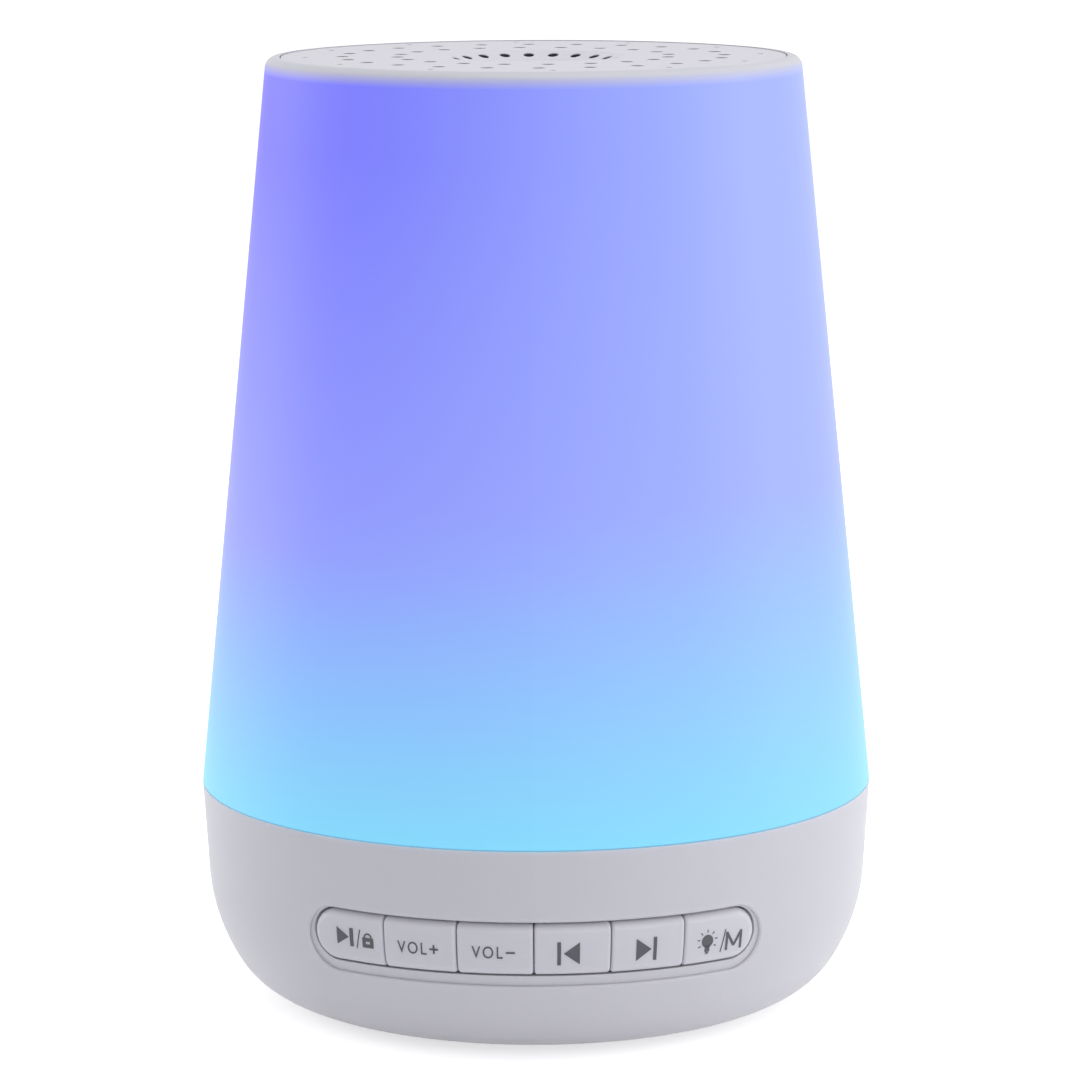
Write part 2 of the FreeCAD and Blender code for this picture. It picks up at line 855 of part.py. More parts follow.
def make_cover():
    head = case_screw_radius + screw_head_margin
    cover = cylinder(cover_radius, cover_bottom, cover_top)
    cover = cover.cut(tube(foot_inner_radius - foot_clearance, foot_outer_radius + foot_clearance,
                           cover_bottom - 1, groove_top))
    for x, y in case_posts:
        cover = cover.fuse(cylinder(cover_post_radius, groove_top, board_bottom, x, y))
    for x, y in case_posts:
        cover = cover.cut(cylinder(head + screw_hole_clearance, cover_bottom,
                                   groove_top + head_counterbore_depth, x, y))
        cover = cover.cut(cylinder(case_screw_radius + screw_hole_clearance, cover_bottom,
                                   board_bottom + 1, x, y))
    return cover.removeSplitter()


def make_foot():
    return tube(foot_inner_radius, foot_outer_radius, 0, groove_top)


def make_case_screws():
    seat = groove_top + head_counterbore_depth
    return [screw(case_screw_radius, case_screw_length, x, y, seat, 1) for x, y in case_posts]


# Main board with its connectors

battery_plug_x = battery_length / 2 + connector_depth
ribbon_plug_y = board_radius - connector_depth


def make_main_board():
    tongue_end = base_surface(board_bottom) - shell_wall - board_rear_gap
    board = cylinder(board_radius, board_bottom, board_top)
    board = board.fuse(box(-board_tongue_half_width, board_tongue_half_width, 0, tongue_end,
                           board_bottom, board_top)).removeSplitter()
    for x, y in case_posts:
        board = board.cut(cylinder(case_screw_radius + board_hole_clearance, board_bottom - 1,
                                   board_top + 1, x, y))
    return board


def make_connectors():
    half = connector_depth / 2
    top = board_top + connector_height
    ribbon = box(-ribbon_width / 2 - half, ribbon_width / 2 + half, -ribbon_plug_y - half,
                 -ribbon_plug_y + half, board_top, top)
    speaker = box(-connector_depth, connector_depth, -half, half, board_top, top)
    lamps = box(-connector_depth, connector_depth, led_plug_place - half,
                led_plug_place + half, board_top, top)
    battery = box(battery_plug_x - half, battery_plug_x + half, -connector_depth,
                  connector_depth, board_bottom - connector_height + ribbon_standoff, board_bottom)
    return [ribbon, speaker, lamps, battery]


# Chips and capacitors stand between the posts, at shares of the posts' offsets
def board_place(share_x, share_y):
    return share_x * post_offset_x, share_y * post_offset_y


def make_chips():
    chips = []
    for (width, depth), shares in zip(chip_sizes, chip_places):
        x, y = board_place(*shares)
        chips.append(box(x - width / 2, x + width / 2, y - depth / 2, y + depth / 2,
                         board_top, board_top + chip_height))
    return chips


def make_capacitors():
    x, y = board_place(*capacitor_place)
    places = ((x, y), (x + capacitor_pitch, y),
              (x + capacitor_pitch / 2, y - 1.5 * capacitor_pitch))
    return [cylinder(capacitor_radius, board_top, board_top + capacitor_height, px, py)
            for px, py in places]


def make_usb_shell():
    z = board_top + usb_height / 2
    front = pocket_floor() - usb_depth
    outer = rounded_block(usb_width, usb_height, usb_corner, front, pocket_floor(), z)
    return outer.cut(rounded_block(usb_width - 2 * usb_wall, usb_height - 2 * usb_wall,
                                   usb_corner - usb_wall, front + usb_wall,
                                   pocket_floor() + 1, z))


def make_usb_tongue():
    z = board_top + usb_height / 2
    front = pocket_floor() - usb_depth + usb_wall
    block = rounded_block(usb_width - 2 * usb_wall, usb_height - 2 * usb_wall,
                          usb_corner - usb_wall, front, front + usb_tongue_back, z)
    blade = box(-usb_tongue_width / 2, usb_tongue_width / 2, front,
                pocket_floor() - usb_tongue_front_gap, z - usb_tongue_thickness / 2,
                z + usb_tongue_thickness / 2)
    return block.fuse(blade).removeSplitter()


def make_battery():
    low = cover_top + tape_thickness
    cell = box(-battery_length / 2, battery_length / 2, -battery_width / 2, battery_width / 2,
               low, low + battery_height)
    return cell.makeFillet(battery_corner, [e for e in cell.Edges if is_along_x(e)])


def is_along_x(edge):
    a = edge.Vertexes[0].Point
    b = edge.Vertexes[-1].Point
    return abs(a.y - b.y) < 1e-6 and abs(a.z - b.z) < 1e-6


def make_tape():
    x = battery_length / 2 - tape_margin
    y = battery_width / 2 - tape_margin
    return box(-x, x, -y, y, cover_top, cover_top + tape_thickness)


# Bracket, contact strip and switches: flat facets, one square on to each key

def facet_points(distance, start, end):
    points = [meet(distance, start, key_angles[0])]
    for a, b in zip(key_angles, key_angles[1:]):
        middle = (a + b) / 2
        points.append(at(distance / math.cos(math.radians(b - a) / 2), middle, 0))
    return points + [meet(distance, end, key_angles[-1])]


def meet(distance, angle, facing):
    return at(distance / math.cos(math.radians(angle - facing)), angle, 0)


def facet_wall(inner, outer, end, z0, z1):
    return prism(facet_points(outer, -end, end) + facet_points(inner, -end, end)[::-1], z0, z1)


def bracket_screw_places():
    p = at(bracket_distance - bracket_screw_inset, bracket_screw_angle, 0)
    return [(p.x, p.y), (-p.x, p.y)]


def bracket_screw_seat():
    return floor_top + bracket_foot_thickness


def bracket_screw_end():
    return foot_standoff + 1.6


def make_bracket():
    low = floor_top + bracket_foot_thickness
    wall = facet_wall(bracket_distance, strip_distance, bracket_end_angle, low, bracket_top)
    inner = bracket_distance - bracket_foot_depth
    outer = strip_distance - ribbon_standoff
    foot = lathe_polygon([(inner, floor_top), (outer, floor_top), (outer, low), (inner, low)],
                         2 * bracket_foot_angle, -bracket_foot_angle)
    body = wall.fuse(foot)
    for x, y in bracket_screw_places():
        body = body.cut(cylinder(small_screw_radius + screw_hole_clearance, floor_top - 1,
                                 low + 1, x, y))
    return body


def make_bracket_screws():
    seat = bracket_screw_seat()
    return [screw(small_screw_radius, seat - bracket_screw_end(), x, y, seat, -1)
            for x, y in bracket_screw_places()]


def make_key_strip():
    return facet_wall(strip_distance, switch_back, bracket_end_angle,
                      key_height - key_strip_half_height, key_height + key_strip_half_height)


def make_switches():
    half = switch_size / 2
    body = box(-half, half, -switch_front, -switch_back, key_height - half, key_height + half)
    bore = Part.makeCylinder(switch_button_radius + switch_bore_clearance, switch_depth,
                             vec(0, -(button_back - key_travel - switch_bore_clearance),
                                 key_height), vec(0, -1, 0))
    return [turned(body.cut(bore), angle) for angle in key_angles]


def make_button(angle):
    return Part.makeCylinder(switch_button_radius, button_front - button_back,
                             at(button_back, angle, key_height), outward(angle))


# Keys: one pill-shaped band split by narrow grooves, each with rounded edges,
# a lip behind the wall and a post on its switch

def groove(angle):
    cut = box(-key_gap / 2, key_gap / 2, -2 * base_radius, -bracket_distance, 0, seam_height)
    return turned(cut, angle)


def split_strip(band, margin):
    outer = 2 * base_radius
    strip = band.common(pill(margin, bracket_distance, outer))
    strip = strip.cut([groove(angle) for angle in key_edges[1:-1]])
    return sorted(strip.Solids, key=lambda s: s.CenterOfMass.x)


def surface_depth(point):
    return base_surface(point.z) - math.hypot(point.x, point.y)


def samples(edge):
    step = (edge.LastParameter - edge.FirstParameter) / 6
    return [edge.valueAt(edge.FirstParameter + step * k) for k in range(7)]


def beside_groove(edge, angle):
    side = sideways(angle)
    return all(abs(abs(p.dot(side)) - key_gap / 2) < 1e-4 for p in samples(edge))


def beside_any_groove(edge):
    return any(beside_groove(edge, angle) for angle in key_edges[1:-1])


def round_key(block):
    face = [e for e in block.Edges if all(abs(surface_depth(p)) < 0.01 for p in samples(e))]
    long_edges = [e for e in face if not beside_any_groove(e) and not is_waist(e)]
    block = block.makeFillet(key_edge_rounding, long_edges)
    sides = [e for e in block.Edges if beside_any_groove(e)
             and all(surface_depth(p) < key_edge_rounding + 0.1 for p in samples(e))]
    return block.makeFillet(key_side_rounding, sides)


def make_keys():
    back = shell_wall + key_lip_gap + key_lip_thickness
    core = base_form(back, cavity_rise)
    body = base_form(0, 0)
    blocks = split_strip(body.cut(core), 0.0)
    lips = split_strip(base_form(shell_wall + key_lip_gap, cavity_rise).cut(core), key_lip)
    keys = []
    for block, lip, angle in zip(blocks, lips, key_angles):
        post = Part.makeCylinder(key_post_radius, base_surface(key_height) - back - button_front
                                 + key_lip_thickness / 2,
                                 at(button_front, angle, key_height), outward(angle))
        keys.append(round_key(block).fuse([lip, post]).removeSplitter())
    return keys


# Flat cable from the top edge of the contact strip over the bracket to its
# socket on the main board
def make_ribbon():
    half = ribbon_thickness / 2
    front = strip_distance / math.cos(math.radians(key_pitch / 2)) + 2 * half
    back = bracket_distance - 2 * ribbon_standoff
    over = bracket_top + ribbon_standoff
    end = board_top + connector_height
    path = [(front, key_height + key_strip_half_height), (front, over), (back, over),
            (back, over - ribbon_lead), (ribbon_plug_y, end + ribbon_lead), (ribbon_plug_y, end)]
    outline = offset_path(path, half) + offset_path(path, -half)[::-1]
    points = [vec(-ribbon_width / 2, -y, z) for y, z in outline]
    return Part.Face(Part.makePolygon(points + points[:1])).extrude(vec(ribbon_width, 0, 0))


# Mitred copy of a flat path, moved to one side
def offset_path(path, amount):
    ways = [unit((b[0] - a[0], b[1] - a[1])) for a, b in zip(path, path[1:])]
    ways = [ways[0]] + ways + [ways[-1]]
    moved = []
    for point, before, after in zip(path, ways, ways[1:]):
        normal = unit((before[1] + after[1], -before[0] - after[0]))
        reach = amount / (normal[0] * before[1] - normal[1] * before[0])
        moved.append((point[0] + normal[0] * reach, point[1] + normal[1] * reach))
    return moved


# Side by side wires through points in the plane x = 0 or y = 0
def wires(points, count, across):
    runs = []
    for k in range(count):
        shift = across * (wire_spacing * (k - (count - 1) / 2))
        runs.append(wire([p + shift for p in points], wire_radius))
    return runs


# From the speaker terminals round the magnet, down the column to the board
def make_speaker_leads():
    start = basket_opening_radius + 1.5 * basket_wall + coil_clearance
    under = (yoke_bottom + cup_floor_top) / 2
    low = flange_bottom - terminal_height
    end = board_top + connector_height
    drop = low - under
    fall = under - end
    places = [(start, low), (start, low - 0.40 * drop), (start - 0.6, low - 0.78 * drop),
              (magnet_radius + 1.0, under - 0.1), (pole_radius - 0.5, under + 0.1),
              (4.2, under - 0.11 * fall), (4.9, under - 0.29 * fall), (3.9, under - 0.50 * fall),
              (4.7, under - 0.70 * fall), (3.2, under - 0.86 * fall),
              (0.6, under - 0.96 * fall), (0.6, end)]
    return wires([vec(0, y, z) for y, z in places], 2, vec(1, 0, 0))


def make_led_leads():
    top = deck_bottom - connector_height
    end = board_top + connector_height
    lead = (top - end) / 4
    places = [(led_plug_place, top), (led_plug_place, top - lead),
              (led_plug_place + lead, (top + end) / 2), (led_plug_place, end + lead),
              (led_plug_place, end)]
    return wires([vec(0, y, z) for y, z in places], 3, vec(1, 0, 0))


def make_battery_leads():
    x = battery_length / 2
    low = cover_top + tape_thickness + battery_height / 2
    end = board_bottom - connector_height + ribbon_standoff
    places = [(x, low), (x + 0.6 * connector_depth, low),
              (battery_plug_x, (low + end) / 2), (battery_plug_x, end)]
    return wires([vec(px, 0, pz) for px, pz in places], 2, vec(0, 1, 0))


def save(name, shapes):
    group = shapes if isinstance(shapes, list) else [shapes]
    solids = [s for g in group for s in g.Solids]
    shape = solids[0] if len(solids) == 1 else Part.makeCompound(solids)
    shape.exportStep("parts/" + name + ".step")
    print(name, len(solids), "solids", round(sum(s.Volume for s in solids), 1), "mm3",
          all(s.isValid() for s in solids))


def main():
    os.makedirs("parts", exist_ok=True)
    save("shade", make_shade())
    save("top_grille", make_grille())
    save("grille_cloth", make_cloth())
    save("speaker_gasket", tube(gasket_inner_radius, gasket_outer_radius, flange_top, cloth_bottom))
    save("speaker_basket", make_basket())
    save("speaker_surround", make_surround())
    save("speaker_cone", make_cone())
    save("speaker_dust_cap", make_dust_cap())
    save("voice_coil_former", make_former())
    save("voice_coil_winding", make_winding())
    save("speaker_spider", make_spider())
    save("speaker_front_plate", make_front_plate())
    save("speaker_magnet", make_magnet())
    save("speaker_yoke", make_yoke())
    save("speaker_terminals", make_terminals())
    save("speaker_screws", make_speaker_screws())
    save("speaker_pillar", make_pillar())
    save("pillar_screws", make_pillar_screws())
    save("light_deck", make_deck())
    save("shade_screws", make_shade_screws())
    save("led_board", make_led_board())
    save("led_packages", make_leds())
    save("led_plug", make_led_plug())
    save("base_shell", make_base_shell())
    save("bottom_cover", make_cover())
    save("rubber_foot_ring", make_foot())
    save("case_screws", make_case_screws())
    save("main_board", make_main_board())
    save("board_connectors", make_connectors())
    save("board_chips", make_chips())
    save("board_capacitors", make_capacitors())
    save("usb_socket_shell", make_usb_shell())
    save("usb_socket_tongue", make_usb_tongue())
    save("battery_pack", make_battery())
    save("battery_tape", make_tape())
    save("key_switch_bracket", make_bracket())
    save("bracket_screws", make_bracket_screws())
    save("key_circuit_strip", make_key_strip())
    save("key_switch_bodies", make_switches())
    for name, angle, key in zip(key_names, key_angles, make_keys()):
        save(name, key)
        save(name + "_button", make_button(angle))
    save("key_ribbon_cable", make_ribbon())
    save("speaker_leads", make_speaker_leads())
    save("led_leads", make_led_leads())
    save("battery_leads", make_battery_leads())


main()
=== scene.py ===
import math

import bpy
from bpy.props import FloatProperty, FloatVectorProperty, PointerProperty
from mathutils import Matrix, Vector
from mathutils.bvhtree import BVHTree


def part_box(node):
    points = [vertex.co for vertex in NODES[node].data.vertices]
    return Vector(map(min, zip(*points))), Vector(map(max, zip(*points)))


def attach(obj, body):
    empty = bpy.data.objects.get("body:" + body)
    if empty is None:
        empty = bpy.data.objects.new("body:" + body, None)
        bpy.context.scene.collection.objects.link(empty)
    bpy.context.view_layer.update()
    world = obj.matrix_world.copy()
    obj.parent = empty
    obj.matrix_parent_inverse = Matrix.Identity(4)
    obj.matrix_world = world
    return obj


bl_info = {
    "name": "White noise sound machine",
    "version": (1, 0, 0),
    "blender": (4, 5, 0),
    "location": "3D View > Sidebar > Sound machine",
    "description": "Dresses a bedside sound machine: lit shade, satin base, printed keys",
    "category": "Object",
}

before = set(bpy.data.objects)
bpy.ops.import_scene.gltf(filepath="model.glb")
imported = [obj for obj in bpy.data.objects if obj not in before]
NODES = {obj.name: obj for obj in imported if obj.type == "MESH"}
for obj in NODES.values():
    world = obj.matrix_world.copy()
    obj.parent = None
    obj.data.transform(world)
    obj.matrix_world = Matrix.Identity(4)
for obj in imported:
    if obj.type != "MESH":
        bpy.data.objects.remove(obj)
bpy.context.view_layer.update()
SHADE_HIGH, BASE_HIGH, TOP_HIGH = (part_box(name)[1] for name in
                                   ("shade", "base_shell", "top_grille"))

MM = 0.001
WHITE = (1.0, 1.0, 1.0)
BLACK = (0.0, 0.0, 0.0)
SENSOR_WIDTH = 36.0
SHEEN_ROUGHNESS = 0.35
ROUND_CORNERS = 24
LETTER_SIZE = 4.0
LETTER_WEIGHT = 0.02
SLASH_LEAN = -0.22

# Places of the sockets of a Mix node that mixes colours
MIX_FIRST, MIX_SECOND, MIX_RESULT = 6, 7, 2


# Colours are written as they show on screen, 0 to 255, and used as light

def light_colour(red, green, blue):
    def channel(value):
        value = value / 255
        return value / 12.92 if value <= 0.04045 else ((value + 0.055) / 1.055) ** 2.4
    return (channel(red), channel(green), channel(blue))


def colour(name, description, shade):
    return FloatVectorProperty(name=name, description=description, subtype="COLOR", size=3,
                               min=0.0, max=1.0, default=light_colour(*shade))


def length(name, description, default):
    return FloatProperty(name=name, description=description, default=default,
                         subtype="DISTANCE", unit="LENGTH", precision=5)


def angle(name, description, degrees):
    return FloatProperty(name=name, description=description, default=math.radians(degrees),
                         subtype="ANGLE", unit="ROTATION")


def number(name, description, default, low=0.0, high=100.0):
    return FloatProperty(name=name, description=description, default=default, min=low, max=high)


def tone(shade, share, lift=0.0):
    """A lighter or darker colour of the same hue."""
    return [min(1.0, c * share + lift) for c in shade]


# Settings

class StageSettings(bpy.types.PropertyGroup):
    """Camera, lamps and floor."""
    camera_distance: length("Camera distance", "From the body axis, over the floor", 0.6509)
    camera_height: length("Camera height", "Above the table", 0.18039)
    camera_shift: length("Camera side step", "To the right of the body axis", 0.0007)
    camera_turn: angle("Camera turn", "Round the body axis, towards the right", 0.43)
    camera_pitch: angle("Camera pitch", "Looking down", 9.775)
    camera_roll: angle("Camera roll", "Lean of the picture", -0.2)
    lens: number("Lens", "Focal length in millimetres on a 36 mm wide sensor", 147.65, 1, 500)
    floor_size: length("Floor size", "Side of the floor", 6.0)
    floor_colour: colour("Floor colour", "Matt white floor and backdrop", (245, 245, 246))
    floor_white: number("Floor white", "White that the floor shows by itself", 0.62, 0, 1)
    side_lamp: number("Side lamps", "Power of the lamps beside the object, in watts", 2.0)
    front_lamp: number("Front lamp", "Power of the lamp beside the camera, in watts", 1.9)
    top_lamp: number("Top lamp", "Power of the lamp above, in watts", 2.7)
    sky: number("Sky", "Strength of the even light all round", 0.5)


class ShadeSettings(bpy.types.PropertyGroup):
    """Glow of the shade: violet above, cyan below, paler towards the right."""
    cyan: colour("Low left", "Glow at the foot of the shade, left", (128, 215, 251))
    blue: colour("Middle left", "Glow in the lower half, left", (140, 147, 254))
    violet: colour("High left", "Glow under the rim, left", (104, 98, 254))
    aqua: colour("Low right", "Glow at the foot of the shade, right", (136, 220, 253))
    periwinkle: colour("High right", "Glow of the upper half, right", (158, 175, 254))
    top_radius: length("Top radius", "Outer radius of the shade at its top", 0.03915)
    rim_colour: colour("Rim", "Unlit frosted plastic round the top", (204, 204, 213))
    middle_height: length("Middle height", "Height of the middle glow", 0.072)
    high_height: length("High height", "Height of the high glow", 0.128)
    rim_start: length("Rim start", "Height at which the glow begins to fade", 0.1379)
    rim_end: length("Rim end", "Height above which the rim is unlit", 0.1397)
    right_height: length("Right height", "Height where the right side stops changing", 0.080)
    pale_edge: number("Pale edge", "Share of the radius where the right is at its palest", 0.75,
                      0, 1)
    pale_ease: number("Pale ease", "Under 1, the glow turns paler sooner", 0.9, 0.1, 3)
    glow: number("Glow", "Strength of the light through the shade", 0.8)
    body_share: number("Body colour", "Share of the glow's colour in the plastic", 0.2, 0, 1)
    grain: length("Frosting", "Size of the frosted grain", 0.00025)


class BaseSettings(bpy.types.PropertyGroup):
    """Satin plastic of the base, keys and top."""
    plastic: colour("Base", "Satin plastic of the base", (206, 205, 213))
    keys: colour("Keys", "Satin plastic of the keys", (210, 209, 217))
    grille: colour("Top", "Matt plastic of the perforated top", (218, 216, 225))
    # The holes of the top get painted shade: a dark colour mixed in below the top face
    painted_hole_shade: colour("Holes", "Painted shade deep inside the holes of the top", (52, 52, 58))
    print_colour: colour("Print", "Ink of the key marks", (74, 76, 82))
    foot: colour("Foot", "Silicone of the foot ring", (120, 120, 124))
    hole_shade_start: length("Hole start", "Depth at which the painted shade in a hole begins", 0.00003)
    hole_shade_end: length("Hole end", "Depth at which the painted shade in a hole is full", 0.00012)
    dish_floor: length("Dish floor", "Radius of the flat middle of the top", 0.00950)
    dish_lip: length("Dish lip", "Radius where the top begins to dip", 0.01376)
    dish_depth: length("Dish depth", "Dip of the middle of the top", 0.0013)
    grain: length("Grain", "Size of the moulded grain", 0.0004)
    print_thickness: length("Print thickness", "Ink above the key face", 0.00004)
    print_depth: length("Print depth", "Ink below the key face", 0.00008)


# Shader maths

class Value:
    """A shader socket that takes part in sums."""

    def __init__(self, graph, socket):
        self.graph = graph
        self.socket = socket

    def maths(self, operation, *others, swap=False):
        values = [self, *others]
        if swap:
            values.reverse()
        return self.graph.node("ShaderNodeMath", {"operation": operation},
                               dict(enumerate(values)))

    def __add__(self, other):
        return self.maths("ADD", other)

    __radd__ = __add__

    def __sub__(self, other):
        return self.maths("SUBTRACT", other)

    def __rsub__(self, other):
        return self.maths("SUBTRACT", other, swap=True)

    def __mul__(self, other):
        return self.maths("MULTIPLY", other)

    __rmul__ = __mul__

    def __truediv__(self, other):
        return self.maths("DIVIDE", other)

    def __rtruediv__(self, other):
        return self.maths("DIVIDE", other, swap=True)

    def __pow__(self, other):
        return self.maths("POWER", other)

    def between(self, low, high):
        """0 below low, 1 above high, straight between."""
        return self.graph.node("ShaderNodeMapRange", {"clamp": True},
                               {"Value": self, "From Min": low, "From Max": high})


class Graph:
    """The node graph of one material, or of the world."""

    def __init__(self, name, world=None):
        self.material = world or bpy.data.materials.new(name)
        self.material.use_nodes = True
        self.tree = self.material.node_tree
        self.tree.nodes.clear()
        kind = "ShaderNodeOutputWorld" if world else "ShaderNodeOutputMaterial"
        self.end = self.tree.nodes.new(kind)

    def node(self, kind, settings=None, inputs=None, output=0):
        made = self.tree.nodes.new(kind)
        for name, value in (settings or {}).items():
            if name == "stops":
                self.set_stops(made.color_ramp, value)
            else:
                setattr(made, name, value)
        for name, value in (inputs or {}).items():
            self.feed(made.inputs[name], value)
        return Value(self, made.outputs[output])

    def feed(self, socket, value):
        if isinstance(value, Value):
            self.tree.links.new(value.socket, socket)
        elif socket.type == "RGBA":
            socket.default_value = (*value[:3], 1.0)
        else:
            socket.default_value = value

    def set_stops(self, ramp, stops):
        while len(ramp.elements) < len(stops):
            ramp.elements.new(0.5)
        for element, (place, shade) in zip(ramp.elements, stops):
            element.position = place
            element.color = (*shade[:3], 1.0)

    def place(self):
        return self.node("ShaderNodeTexCoord", output="Object")

    def split(self, vector):
        return [self.node("ShaderNodeSeparateXYZ", {}, {0: vector}, axis) for axis in range(3)]

    def noise(self, vector, size, detail=3.0, roughness=0.55):
        return self.node("ShaderNodeTexNoise", {},
                         {"Vector": vector, "Scale": 1.0 / size, "Detail": detail,
                          "Roughness": roughness})

    def mix(self, factor, first, second):
        return self.node("ShaderNodeMix", {"data_type": "RGBA"},
                         {"Factor": factor, MIX_FIRST: first, MIX_SECOND: second}, MIX_RESULT)

    def bump(self, height, strength, distance):
        return self.node("ShaderNodeBump", {}, {"Height": height, "Strength": strength,
                                                "Distance": distance})

    def seen(self):
        """1 where the eye looks, straight, by a mirror or through glass."""
        straight, mirror, glass = (self.node("ShaderNodeLightPath", output=name) for name in
                                   ("Is Camera Ray", "Is Glossy Ray", "Is Transmission Ray"))
        return (straight + mirror + glass).between(0.0, 1.0)

    def surface(self, **sockets):
        named = {name.replace("_", " ").title().replace("Ior", "IOR"): value
                 for name, value in sockets.items()}
        shader = self.node("ShaderNodeBsdfPrincipled", {}, named)
        self.finish(shader)
        return self.material

    def finish(self, shader):
        self.tree.links.new(shader.socket, self.end.inputs["Surface"])


# Materials

def satin_plastic(name, shade, grain, roughness=0.42):
    """Moulded plastic: fine spark grain, faint flow marks, a soft sheen."""
    g = Graph(name)
    place = g.place()
    fine = g.noise(place, grain, 4.0)
    broad = g.noise(place, 0.018, 2.0)
    body = g.mix(broad * 0.6 + fine * 0.4, tone(shade, 0.97), shade)
    return g.surface(base_color=body, roughness=roughness - 0.05 + 0.1 * broad,
                     specular_ior_level=0.4, sheen_weight=0.3, sheen_roughness=SHEEN_ROUGHNESS,
                     subsurface_weight=0.5, subsurface_radius=WHITE, subsurface_scale=0.0012,
                     normal=g.bump(fine, 0.25, 0.00006))


def perforated_plastic(name, s):
    """Matt plastic with painted shade in its holes, darker below the surface, flat or dished."""
    g = Graph(name)
    place = g.place()
    x, y, z = g.split(place)
    radius = (x * x + y * y) ** 0.5
    dip = s.dish_depth * (1 - radius.between(s.dish_floor, s.dish_lip))
    depth = TOP_HIGH.z - dip - z
    fine = g.noise(place, s.grain, 4.0)
    broad = g.noise(place, 0.018, 2.0)
    face = g.mix(broad, tone(s.grille, 0.96), s.grille)
    # Painted shade: the walls of the holes turn dark with depth below the top face
    body = g.mix(depth.between(s.hole_shade_start, s.hole_shade_end), face, s.painted_hole_shade)
    return g.surface(base_color=body, roughness=0.5 + 0.1 * broad, specular_ior_level=0.35,
                     normal=g.bump(fine, 0.2, 0.00005))


def lit_shade(name, s):
    """Frosted shade lit from inside, violet above and cyan below."""
    g = Graph(name)
    place = g.place()
    x, y, z = g.split(place)
    taper = (BASE_HIGH.x - s.top_radius) / (SHADE_HIGH.z - BASE_HIGH.z)
    radius = BASE_HIGH.x - taper * (z - BASE_HIGH.z)
    across = (x / radius).between(-1.0, s.pale_edge) ** s.pale_ease
    low = BASE_HIGH.z
    middle = (s.middle_height - low) / (s.high_height - low)
    height = z.between(low, s.high_height)
    left = g.node("ShaderNodeValToRGB", {"stops": [(0.0, s.cyan), (middle, s.blue),
                                                   (1.0, s.violet)]}, {"Fac": height})
    right = g.mix(z.between(low, s.right_height), s.aqua, s.periwinkle)
    cloud = g.noise(place, 0.03, 2.0)
    glow = g.mix(across + 0.05 * (cloud - 0.5), left, right)
    rim = z.between(s.rim_start, s.rim_end)
    body = g.mix(rim, g.mix(s.body_share, BLACK, glow), s.rim_colour)
    shine = g.mix(rim, glow, BLACK)
    frost = g.noise(place, s.grain, 3.0)
    return g.surface(base_color=body, roughness=0.45 + 0.08 * cloud, specular_ior_level=0.35,
                     sheen_weight=0.08, sheen_roughness=SHEEN_ROUGHNESS,
                     emission_color=shine, emission_strength=s.glow,
                     normal=g.bump(frost, 0.12, 0.00004))


def printed_ink(name, shade):
    """Pad-printed ink: slightly uneven, soft edges of gloss."""
    g = Graph(name)
    place = g.place()
    speckle = g.noise(place, 0.0002, 3.0)
    lighter = tone(shade, 1.35)
    return g.surface(base_color=g.mix(speckle, shade, lighter), roughness=0.5 + 0.1 * speckle,
                     normal=g.bump(speckle, 0.1, 0.00002))


def acoustic_cloth(name, shade):
    """Fine woven cloth, over and under threads."""
    g = Graph(name)
    threads = 9000.0
    x, y, z = g.split(g.place())
    warp = (x * threads).maths("SINE")
    weft = (y * threads).maths("SINE")
    weave = (warp * weft) * 0.5 + 0.5
    lighter = tone(shade, 2.2)
    return g.surface(base_color=g.mix(weave, shade, lighter), roughness=0.9,
                     normal=g.bump(weave, 0.5, 0.0001))


def soft_rubber(name, shade, grain=0.0006):
    """Matt silicone or rubber with dust-fine pores."""
    g = Graph(name)
    place = g.place()
    pores = g.noise(place, grain, 4.0)
    lighter = tone(shade, 1.2, 0.01)
    return g.surface(base_color=g.mix(pores, shade, lighter), roughness=0.68 + 0.12 * pores,
                     normal=g.bump(pores, 0.3, 0.00008))


def foam_cells(name, shade):
    """Closed-cell foam."""
    g = Graph(name)
    cells = g.node("ShaderNodeTexVoronoi", {}, {"Vector": g.place(), "Scale": 1800.0}, "Distance")
    lighter = tone(shade, 2.0)
    return g.surface(base_color=g.mix(cells, shade, lighter), roughness=0.95,
                     normal=g.bump(cells, 0.6, 0.0003))


def pressed_paper(name, shade):
    """Paper pulp with short fibres."""
    g = Graph(name)
    place = g.place()
    fibres = g.node("ShaderNodeTexNoise", {}, {"Vector": place, "Scale": 1400.0, "Detail": 5.0,
                                               "Distortion": 1.5})
    lighter = tone(shade, 1.8)
    return g.surface(base_color=g.mix(fibres, shade, lighter), roughness=0.85,
                     normal=g.bump(fibres, 0.4, 0.0001))


def worked_metal(name, shade, roughness=0.3, grain=0.00025):
    """Plated or turned metal with fine marks."""
    g = Graph(name)
    place = g.place()
    stretched = g.node("ShaderNodeMapping", {}, {"Vector": place, "Scale": (1.0, 1.0, 12.0)})
    marks = g.noise(stretched, grain * 4, 4.0)
    darker = tone(shade, 0.85)
    return g.surface(base_color=g.mix(marks, darker, shade), metallic=1.0,
                     roughness=roughness - 0.08 + 0.16 * marks,
                     normal=g.bump(marks, 0.15, 0.00004))


def coated_steel(name, shade):
    """Black powder coat."""
    g = Graph(name)
    peel = g.noise(g.place(), 0.0009, 3.0)
    lighter = tone(shade, 1.5)
    return g.surface(base_color=g.mix(peel, shade, lighter), roughness=0.4 + 0.12 * peel,
                     normal=g.bump(peel, 0.25, 0.00008))


def wound_wire(name, shade):
    """Turns of enamelled wire, one above the other."""
    g = Graph(name)
    x, y, z = g.split(g.place())
    turns = (z * 28000.0).maths("SINE") * 0.5 + 0.5
    darker = tone(shade, 0.5)
    return g.surface(base_color=g.mix(turns, darker, shade), metallic=0.9,
                     roughness=0.3 + 0.1 * turns, normal=g.bump(turns, 0.6, 0.0001))


